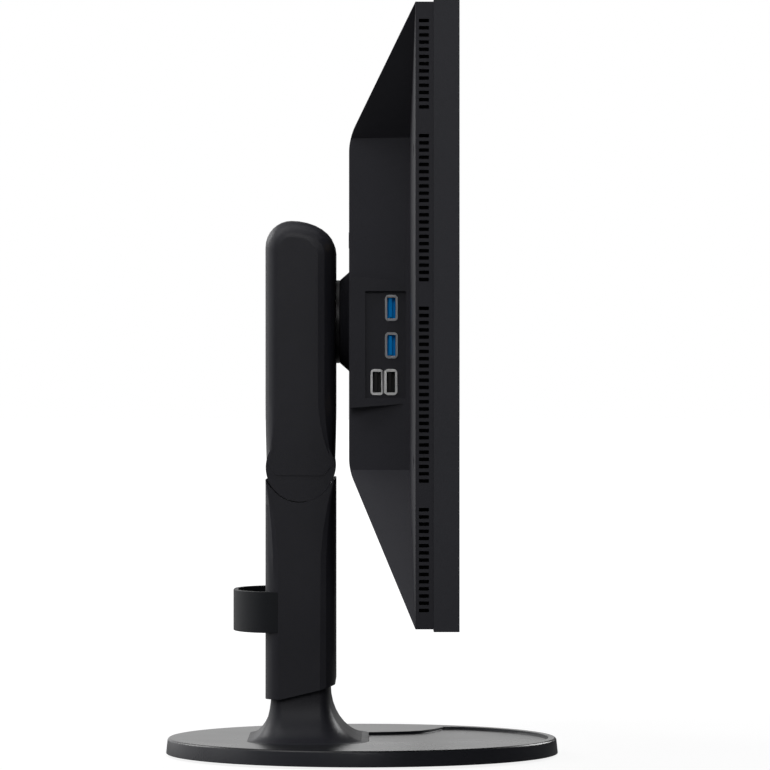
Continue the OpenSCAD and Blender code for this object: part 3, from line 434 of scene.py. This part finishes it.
def circuit_board():
    """Green board with fine copper runs along and across it, and solder dots."""
    material, tree, shader, place = new_material("circuit_board")
    hand = use(tree, HANDLING, place, Size=40.0)
    runs = tree.nodes.new("ShaderNodeTexBrick")
    runs.offset = 0.5
    runs.inputs["Scale"].default_value = 130
    runs.inputs["Mortar Size"].default_value = 0.035
    runs.inputs["Brick Width"].default_value = 1.7
    runs.inputs["Row Height"].default_value = 0.4
    turned = tree.nodes.new("ShaderNodeMapping")
    turned.inputs["Rotation"].default_value = (math.radians(90), 0, 0)
    join(tree, place, turned.inputs["Vector"])
    join(tree, turned.outputs["Vector"], runs.inputs["Vector"])
    dots = tree.nodes.new("ShaderNodeTexVoronoi")
    dots.inputs["Scale"].default_value = 210
    join(tree, place, dots.inputs["Vector"])
    solder = spread(tree, dots.outputs["Distance"], 0.16, 0.20, 1, 0)
    lacquer = mixed(tree, hand["Mask"], (0.008, 0.075, 0.032), (0.012, 0.105, 0.045))
    copper = mixed(tree, runs.outputs["Fac"], lacquer, (0.035, 0.17, 0.075))
    join(tree, mixed(tree, solder, copper, (0.62, 0.62, 0.60)), shader.inputs["Base Color"])
    join(tree, spread(tree, solder, 0, 1, 0.42, 0.28), shader.inputs["Roughness"])
    join(tree, solder, shader.inputs["Metallic"])
    raised = maths(tree, "ADD", runs.outputs["Fac"], solder)
    raise_bumps(tree, shader, raised, 0.00003, strength=0.6)
    return material


def clear_acrylic(name, dark, light):
    """Cast acrylic sheet with a faint dot pattern that spreads its light."""
    material, tree, shader, place = new_material(name)
    dots = tree.nodes.new("ShaderNodeTexVoronoi")
    dots.inputs["Scale"].default_value = 600
    join(tree, place, dots.inputs["Vector"])
    print_dots = spread(tree, dots.outputs["Distance"], 0.2, 0.35, 1, 0)
    join(tree, mixed(tree, print_dots, dark, light), shader.inputs["Base Color"])
    join(tree, spread(tree, print_dots, 0, 1, 0.12, 0.4), shader.inputs["Roughness"])
    shader.inputs["IOR"].default_value = 1.49
    return material


# The picture's width and height, and the height of its middle
PICTURE_W, PICTURE_H, PICTURE_Z = 0.5184, 0.324, 0.2717
SCREEN = screen_film(PICTURE_W, PICTURE_H, PICTURE_Z)
BOARD = circuit_board()
GUIDE = clear_acrylic("light_guide_acrylic", (0.55, 0.60, 0.60), (0.80, 0.82, 0.82))
LENS = clear_acrylic("power_lens_acrylic", (0.30, 0.42, 0.60), (0.45, 0.58, 0.78))


# ---------- stage ----------


def ray_kinds(tree):
    """Two values: 1 for what is seen straight or through clear pieces, and for reflections."""
    path = tree.nodes.new("ShaderNodeLightPath")
    straight = maths(
        tree, "ADD", path.outputs["Is Camera Ray"], path.outputs["Is Transmission Ray"]
    )
    return straight, path.outputs["Is Glossy Ray"]


def mix_shaders(tree, mask, first, second):
    blend = tree.nodes.new("ShaderNodeMixShader")
    for socket, source in zip(blend.inputs, (mask, first, second)):
        join(tree, source, socket)
    return blend.outputs[0]


FLOOR_SIZE = 60
# The share of the floor's own white that shows; the rest takes the light and the shadow
FLOOR_WHITE = 0.75
# The strength of that white
FLOOR_STRENGTH = 1.16
# The lamps reach only the floor round the object, and fade out between these distances
LAMPS_FADE = (0.45, 1.3)

bpy.ops.object.select_all(action="DESELECT")
bpy.ops.mesh.primitive_plane_add(size=FLOOR_SIZE, location=(0, 0, 0))
floor = bpy.context.object
floor.name = "floor"
floor_material, floor_tree, floor_shader, floor_place = new_material("pale_floor")
floor_shader.inputs["Roughness"].default_value = 0.9
floor_shader.inputs["Specular IOR Level"].default_value = 0.1
floor_white = floor_tree.nodes.new("ShaderNodeEmission")
floor_straight, floor_glossy = ray_kinds(floor_tree)
# White where it is looked at, and darker for the light that it throws back up
floor_colour = mixed(floor_tree, floor_straight, (0.26, 0.26, 0.26), (0.80, 0.80, 0.80))
join(floor_tree, floor_colour, floor_shader.inputs["Base Color"])
# Past the lamps' reach the floor is all its own white
reach = floor_tree.nodes.new("ShaderNodeVectorMath")
reach.operation = "LENGTH"
join(floor_tree, floor_place, reach.inputs[0])
floor_share = spread(floor_tree, reach.outputs["Value"], *LAMPS_FADE, FLOOR_WHITE, 1.0)
# Reflections see the floor lit from the rear, and dim on the screen's side
floor_rearward = along(floor_tree, floor_place, (0.25, 0.97, 0))
floor_lit = spread(floor_tree, floor_rearward, -0.25, 0.35, 0.04, 0.30)
floor_strength = maths(
    floor_tree,
    "ADD",
    maths(floor_tree, "MULTIPLY", floor_straight, FLOOR_STRENGTH),
    maths(floor_tree, "MULTIPLY", floor_glossy, floor_lit),
)
join(floor_tree, floor_strength, floor_white.inputs["Strength"])
floor_mask = maths(
    floor_tree,
    "ADD",
    maths(floor_tree, "MULTIPLY", floor_straight, floor_share),
    floor_glossy,
)
join(
    floor_tree,
    mix_shaders(floor_tree, floor_mask, floor_shader.outputs[0], floor_white.outputs[0]),
    floor_tree.nodes["Material Output"].inputs["Surface"],
)
floor.data.materials.append(floor_material)

# The room is white to the eye. Reflections see its white wall behind the object and to the
# rear, and a dim room over it and on the screen's side.
# Each line: a direction, where along it a change starts and ends, and the light on both sides
WALL_FADES = (
    ((0, 1, 0), -0.13, -0.03, 0.02, 1.0),
    ((1, 0, 0), -0.7, 0.1, 0.10, 1.0),
    ((0, 0, 1), 0.12, 0.6, 1.0, 0.3),
)

world = bpy.data.worlds.new("white_room")
bpy.context.scene.world = world
world.use_nodes = True
world_tree = world.node_tree
sky = world_tree.nodes["Background"]
sky.inputs["Color"].default_value = (0.97, 0.98, 1.0, 1)
direction = world_tree.nodes.new("ShaderNodeTexCoord").outputs["Generated"]
sky_rearward = along(world_tree, direction, (-0.2, 0.45, 0.87))
join(
    world_tree,
    spread(world_tree, sky_rearward, -0.6, 0.8, 0.02, 0.14),
    sky.inputs["Strength"],
)
white_room = world_tree.nodes.new("ShaderNodeBackground")
white_room.inputs["Color"].default_value = (1, 1, 1, 1)
room_straight, room_glossy = ray_kinds(world_tree)
wall_lit = room_glossy
for towards, start, end, before, after in WALL_FADES:
    fade = spread(world_tree, along(world_tree, direction, towards), start, end, before, after)
    wall_lit = maths(world_tree, "MULTIPLY", wall_lit, fade)
join(
    world_tree,
    maths(world_tree, "MAXIMUM", room_straight, wall_lit),
    white_room.inputs["Strength"],
)
room_mask = maths(world_tree, "MINIMUM", maths(world_tree, "ADD", room_straight, room_glossy), 1)
join(
    world_tree,
    mix_shaders(world_tree, room_mask, sky.outputs[0], white_room.outputs[0]),
    world_tree.nodes["World Output"].inputs["Surface"],
)


def soft_lamp(name, place, aim_height, size, watts):
    """A square lamp that points at a height over the middle of the desk."""
    data = bpy.data.lights.new(name, "AREA")
    data.shape = "SQUARE"
    data.size = size
    data.energy = watts
    lamp = bpy.data.objects.new(name, data)
    lamp.location = place
    aim = Vector((0, 0, aim_height)) - Vector(place)
    lamp.rotation_euler = aim.to_track_quat("-Z", "Y").to_euler()
    bpy.context.scene.collection.objects.link(lamp)


soft_lamp("top_lamp", (-0.6, 1.3, 2.1), aim_height=0.2, size=1.4, watts=15)
soft_lamp("side_lamp", (-2.5, 0.0, 1.5), aim_height=0.25, size=1.2, watts=18)
soft_lamp("high_lamp", (-0.2, 0.0, 2.4), aim_height=0.2, size=1.6, watts=10)
soft_lamp("rear_lamp", (-0.3, 2.6, 1.0), aim_height=0.25, size=1.4, watts=7)
# Two on the far side, for the screen and the far half of the back
soft_lamp("screen_lamp", (2.5, -2.1, 1.5), aim_height=0.25, size=1.4, watts=42)
soft_lamp("back_lamp", (1.7, 2.2, 1.5), aim_height=0.25, size=1.4, watts=26)


# ---------- shells ----------

BLACK_SLOT = "plastic_black"
# Corners of the CAD's loose triangles closer than this are one point
WELD = 0.002 * MM
# Triangles that meet at less than this are one flat face
FLAT_ANGLE = math.radians(0.6)


def only(piece):
    """Makes a piece the only selected and the active one."""
    bpy.ops.object.select_all(action="DESELECT")
    piece.select_set(True)
    bpy.context.view_layer.objects.active = piece


def shell_of(node, material, edge, angle, slot):
    """A piece in a CAD node's shape with its edges softened and its curves shaded smooth."""
    source = nodes[node]
    piece = bpy.data.objects.new(node + "_skin", source.data.copy())
    bpy.context.scene.collection.objects.link(piece)
    only(piece)
    bpy.ops.object.mode_set(mode="EDIT")
    bpy.ops.mesh.select_all(action="SELECT")
    bpy.ops.mesh.remove_doubles(threshold=WELD)
    bpy.ops.mesh.select_all(action="SELECT")
    bpy.ops.mesh.dissolve_limited(angle_limit=FLAT_ANGLE)
    bpy.ops.object.mode_set(mode="OBJECT")
    if edge:
        bevel = piece.modifiers.new("soft_edges", "BEVEL")
        bevel.width = edge * MM
        bevel.segments = 2
        bevel.limit_method = "ANGLE"
        bevel.angle_limit = math.radians(angle)
        bevel.use_clamp_overlap = True
        bevel.miter_outer = "MITER_SHARP"
        bpy.ops.object.modifier_apply(modifier="soft_edges")
    bpy.ops.object.shade_smooth_by_angle(angle=math.radians(angle))
    # Broad faces keep their own direction, and only the soft edges between them turn
    settle = piece.modifiers.new("broad_faces_first", "WEIGHTED_NORMAL")
    settle.weight = 100
    settle.keep_sharp = True
    bpy.ops.object.modifier_apply(modifier="broad_faces_first")
    piece.data.materials.clear()
    piece.data.materials.append(material)
    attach(piece, source["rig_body"])
    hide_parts(node)
    return piece


def second_finish(piece, material, wanted):
    """Gives a second finish to the faces that pass a test."""
    piece.data.materials.append(material)
    for face in piece.data.polygons:
        if wanted(face):
            face.material_index = 1


def paint(node, material):
    """A finish on a CAD node that stays as it is."""
    slots = nodes[node].data.materials
    slots.clear()
    slots.append(material)


# CAD node, finish, width of its soft edges in mm, degrees from which an edge is sharp, slot
SHELLS = (
    ("rear_cover", HOUSING, 0.25, 30, BLACK_SLOT),
    ("front_bezel", BEZEL, 0.35, 30, BLACK_SLOT),
    ("base_cover", BASE, 0.4, 30, BLACK_SLOT),
    ("neck_cover", NECK, 0.0, 30, BLACK_SLOT),
    ("column_front_cover", STAND, 0.0, 24, BLACK_SLOT),
    ("column_rear_cover", STAND, 0.0, 24, BLACK_SLOT),
    ("arm_front_cover", STAND, 0.0, 24, BLACK_SLOT),
    ("arm_rear_cover", STAND, 0.0, 24, BLACK_SLOT),
    ("cable_holder", CLIP, 0.35, 30, BLACK_SLOT),
    ("pivot_boss", HOUSING, 0.3, 30, BLACK_SLOT),
    ("pivot_plate", SMALL_BLACK, 0.2, 30, BLACK_SLOT),
    ("release_catch", SMALL_BLACK, 0.3, 30, BLACK_SLOT),
    ("power_rocker", SMALL_BLACK, 0.3, 30, BLACK_SLOT),
    ("usb3_shells", NICKEL, 0.18, 30, "steel"),
    ("usb2_shells", BRIGHT_TIN, 0.18, 30, "steel"),
    ("usb3_tongues", BLUE, 0.15, 30, "plastic_blue"),
    ("usb2_tongues", SOCKET_BLACK, 0.15, 30, BLACK_SLOT),
)
skins = {node: shell_of(node, *how) for node, *how in SHELLS}

# The ribs behind the side vents get a blacker colour than the cover they belong to: painted shade,
# so that the lit slots look dark.
# They are told by how far in from the side they stand.
RIBS_OUTER, RIBS_INNER = 12.9 * MM, 15 * MM
cover_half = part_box("rear_cover")[1][0]
second_finish(
    skins["rear_cover"],
    VENT_RIB_PAINTED_SHADE,
    lambda face: abs(face.normal.x) > 0.9
    and RIBS_OUTER < cover_half - abs(face.center.x) < RIBS_INNER,
)
# The base is polished on top and satin round its edge. Its edge is also the same plastic in a
# lighter colour than the top: painted light and shade on one piece.
second_finish(skins["base_cover"], BASE_SIDE_PAINTED_LIGHT, lambda face: face.normal.z < 0.5)

# The cup under the knee closes up to a fine line in front, so that no daylight shows through
KNEE_Y, KNEE_Z, KNEE_R, CUP_R = 38 * MM, 181.2 * MM, 21.2 * MM, 21.65 * MM
KNEE_LINE = 0.1 * MM
# How near to the cup's radius its points lie, and how far forward its front part starts
CUP_SLACK = 0.06 * MM
CUP_FRONT = -0.2 * CUP_R
for node in ("column_front_cover", "column_rear_cover"):
    for point in skins[node].data.vertices:
        from_knee = Vector((0, point.co.y - KNEE_Y, point.co.z - KNEE_Z))
        if from_knee.y < CUP_FRONT and abs(from_knee.length - CUP_R) < CUP_SLACK:
            closer = from_knee * (KNEE_R + KNEE_LINE) / from_knee.length
            point.co.y, point.co.z = KNEE_Y + closer.y, KNEE_Z + closer.z

# The turned-out mouths of the two lower sockets nearly meet between them. The points this
# near to the middle are the mouths' inner edges, and this is the gap they are drawn in to.
MOUTH_REACH = 0.75 * MM
MOUTH_GAP = 0.06 * MM
usb2_low, usb2_high = (Vector(corner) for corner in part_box("usb2_shells"))
usb2_middle = (usb2_low.y + usb2_high.y) / 2
for point in skins["usb2_shells"].data.vertices:
    aside = point.co.y - usb2_middle
    if abs(aside) < MOUTH_REACH:
        point.co.y = usb2_middle + math.copysign(MOUTH_GAP / 2, aside)

FINISHES = {
    DARK_STEEL: ["base_weight", "knee_yoke", "carriage_rails", "spring_drum"],
    STEEL: [
        "turntable_plate",
        "neck_upright",
        "column_mast",
        "arm_frame",
        "panel_tray",
        "mount_bracket",
        "board_shield",
        "lift_springs",
    ],
    BRIGHT: [
        "swivel_pin",
        "neck_screws",
        "knee_shaft",
        "knee_nuts",
        "drum_axle",
        "pivot_pin",
        "pivot_nut",
        "boss_screws",
        "displayport_socket",
        "hdmi_socket",
        "usb_uplink_socket",
    ],
    BRASS: ["mount_inserts", "pivot_washer", "knee_washers"],
    NYLON: ["glide_ring", "column_glides", "carriage_block"],
    RUBBER: ["rubber_feet"],
    SMALL_BLACK: ["power_inlet"],
    WHITE: ["dvi_socket", "optical_sheets", "led_bars"],
    SCREEN: ["lcd_panel"],
    GUIDE: ["light_guide"],
    LENS: ["power_lens"],
    BOARD: ["main_board", "power_board", "usb_board", "key_board"],
}
for finish, names in FINISHES.items():
    for name in names:
        paint(name, finish)


# ---------- screws ----------

SCREW_HEAD_R = 3.5 * MM
SCREW_HEAD_T = 1.45 * MM
SCREW_SHAFT_R = 1.6 * MM
# Plain rings stand for the thread. Each narrows to its waist, which lies 0.4 of its length in.
THREAD_RINGS = 9
WAIST = 0.88
WAIST_AT = 0.4
# Shares of the head's radius: its crown's width, and the recess arm's half length and half width
CROWN = 0.22
RECESS_LONG, RECESS_WIDE = 0.62, 0.13
# Share of the head's thickness
RECESS_DEEP = 0.62


def select_faces(piece, wanted):
    """In edit mode, selects the faces whose direction passes a test."""
    bpy.ops.mesh.select_all(action="DESELECT")
    bpy.ops.object.mode_set(mode="OBJECT")
    for face in piece.data.polygons:
        face.select = wanted(face.normal)
    bpy.ops.object.mode_set(mode="EDIT")
    bpy.ops.mesh.select_mode(type="FACE")


def block(name, low, high):
    """A plain block between two corners."""
    bpy.ops.object.select_all(action="DESELECT")
    middle = [(a + b) / 2 for a, b in zip(low, high)]
    bpy.ops.mesh.primitive_cube_add(size=1, location=middle)
    piece = bpy.context.object
    piece.name = name
    piece.scale = [b - a for a, b in zip(low, high)]
    bpy.ops.object.transform_apply(location=True, rotation=True, scale=True)
    return piece


def cut_away(piece, tool):
    """Takes one piece's shape out of another, and removes the tool."""
    only(piece)
    cut = piece.modifiers.new("cut", "BOOLEAN")
    cut.operation = "DIFFERENCE"
    cut.solver = "EXACT"
    cut.object = tool
    bpy.ops.object.modifier_apply(modifier="cut")
    bpy.data.objects.remove(tool)


def cross_screw(name, head_r, head_t, shaft_r, shaft_len):
    """A pan-head screw along Y, its head's face at Y 0 and its shaft towards -Y."""
    bpy.ops.object.select_all(action="DESELECT")
    bpy.ops.mesh.primitive_cylinder_add(
        vertices=48,
        radius=head_r,
        depth=head_t,
        location=(0, -head_t / 2, 0),
        rotation=(math.radians(90), 0, 0),
    )
    screw = bpy.context.object
    screw.name = name
    bpy.ops.object.transform_apply(location=True, rotation=True, scale=True)
    bpy.ops.object.mode_set(mode="EDIT")
    # The head's face is drawn in and crowned
    select_faces(screw, lambda normal: normal.y > 0.9)
    bpy.ops.mesh.bevel(offset=head_r * CROWN, segments=4, affect="EDGES")
    # The shaft goes in from the head's underside
    select_faces(screw, lambda normal: normal.y < -0.9)
    bpy.ops.mesh.inset(thickness=head_r - shaft_r)
    ring_len = shaft_len / THREAD_RINGS
    for _ in range(THREAD_RINGS):
        for grow, share in ((WAIST, WAIST_AT), (1 / WAIST, 1 - WAIST_AT)):
            bpy.ops.mesh.extrude_region_move(
                TRANSFORM_OT_translate={"value": (0, -ring_len * share, 0)}
            )
            bpy.ops.transform.resize(value=(grow, 1, grow))
    bpy.ops.object.mode_set(mode="OBJECT")
    arm, half = head_r * RECESS_LONG, head_r * RECESS_WIDE
    deep = head_t * RECESS_DEEP
    for wide, high in ((arm, half), (half, arm)):
        cut_away(screw, block("recess", (-wide, -deep, -high), (wide, head_t, high)))
    only(screw)
    bpy.ops.object.shade_smooth_by_angle(angle=math.radians(32))
    return screw


def copies(model, places, body, stands_for):
    """Sets copies of a model, each with its own mesh, at places, and removes the model."""
    for number, place in enumerate(places, 1):
        piece = bpy.data.objects.new(f"{model.name}_{number}", model.data.copy())
        bpy.context.scene.collection.objects.link(piece)
        piece.data.transform(Matrix.Translation(place))
        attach(piece, body)
        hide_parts(stands_for)
    bpy.data.objects.remove(model)


screw_low, screw_high = (Vector(corner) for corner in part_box("cover_screws"))
cover_screw = cross_screw(
    "cover_screw",
    SCREW_HEAD_R,
    SCREW_HEAD_T,
    SCREW_SHAFT_R,
    screw_high.y - screw_low.y - SCREW_HEAD_T,
)
cover_screw.data.materials.append(DARK_STEEL)
screw_places = [
    (x, screw_high.y, z)
    for x in (screw_low.x + SCREW_HEAD_R, screw_high.x - SCREW_HEAD_R)
    for z in (screw_low.z + SCREW_HEAD_R, screw_high.z - SCREW_HEAD_R)
]
copies(
    cover_screw, screw_places, nodes["cover_screws"]["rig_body"], "cover_screws"
)
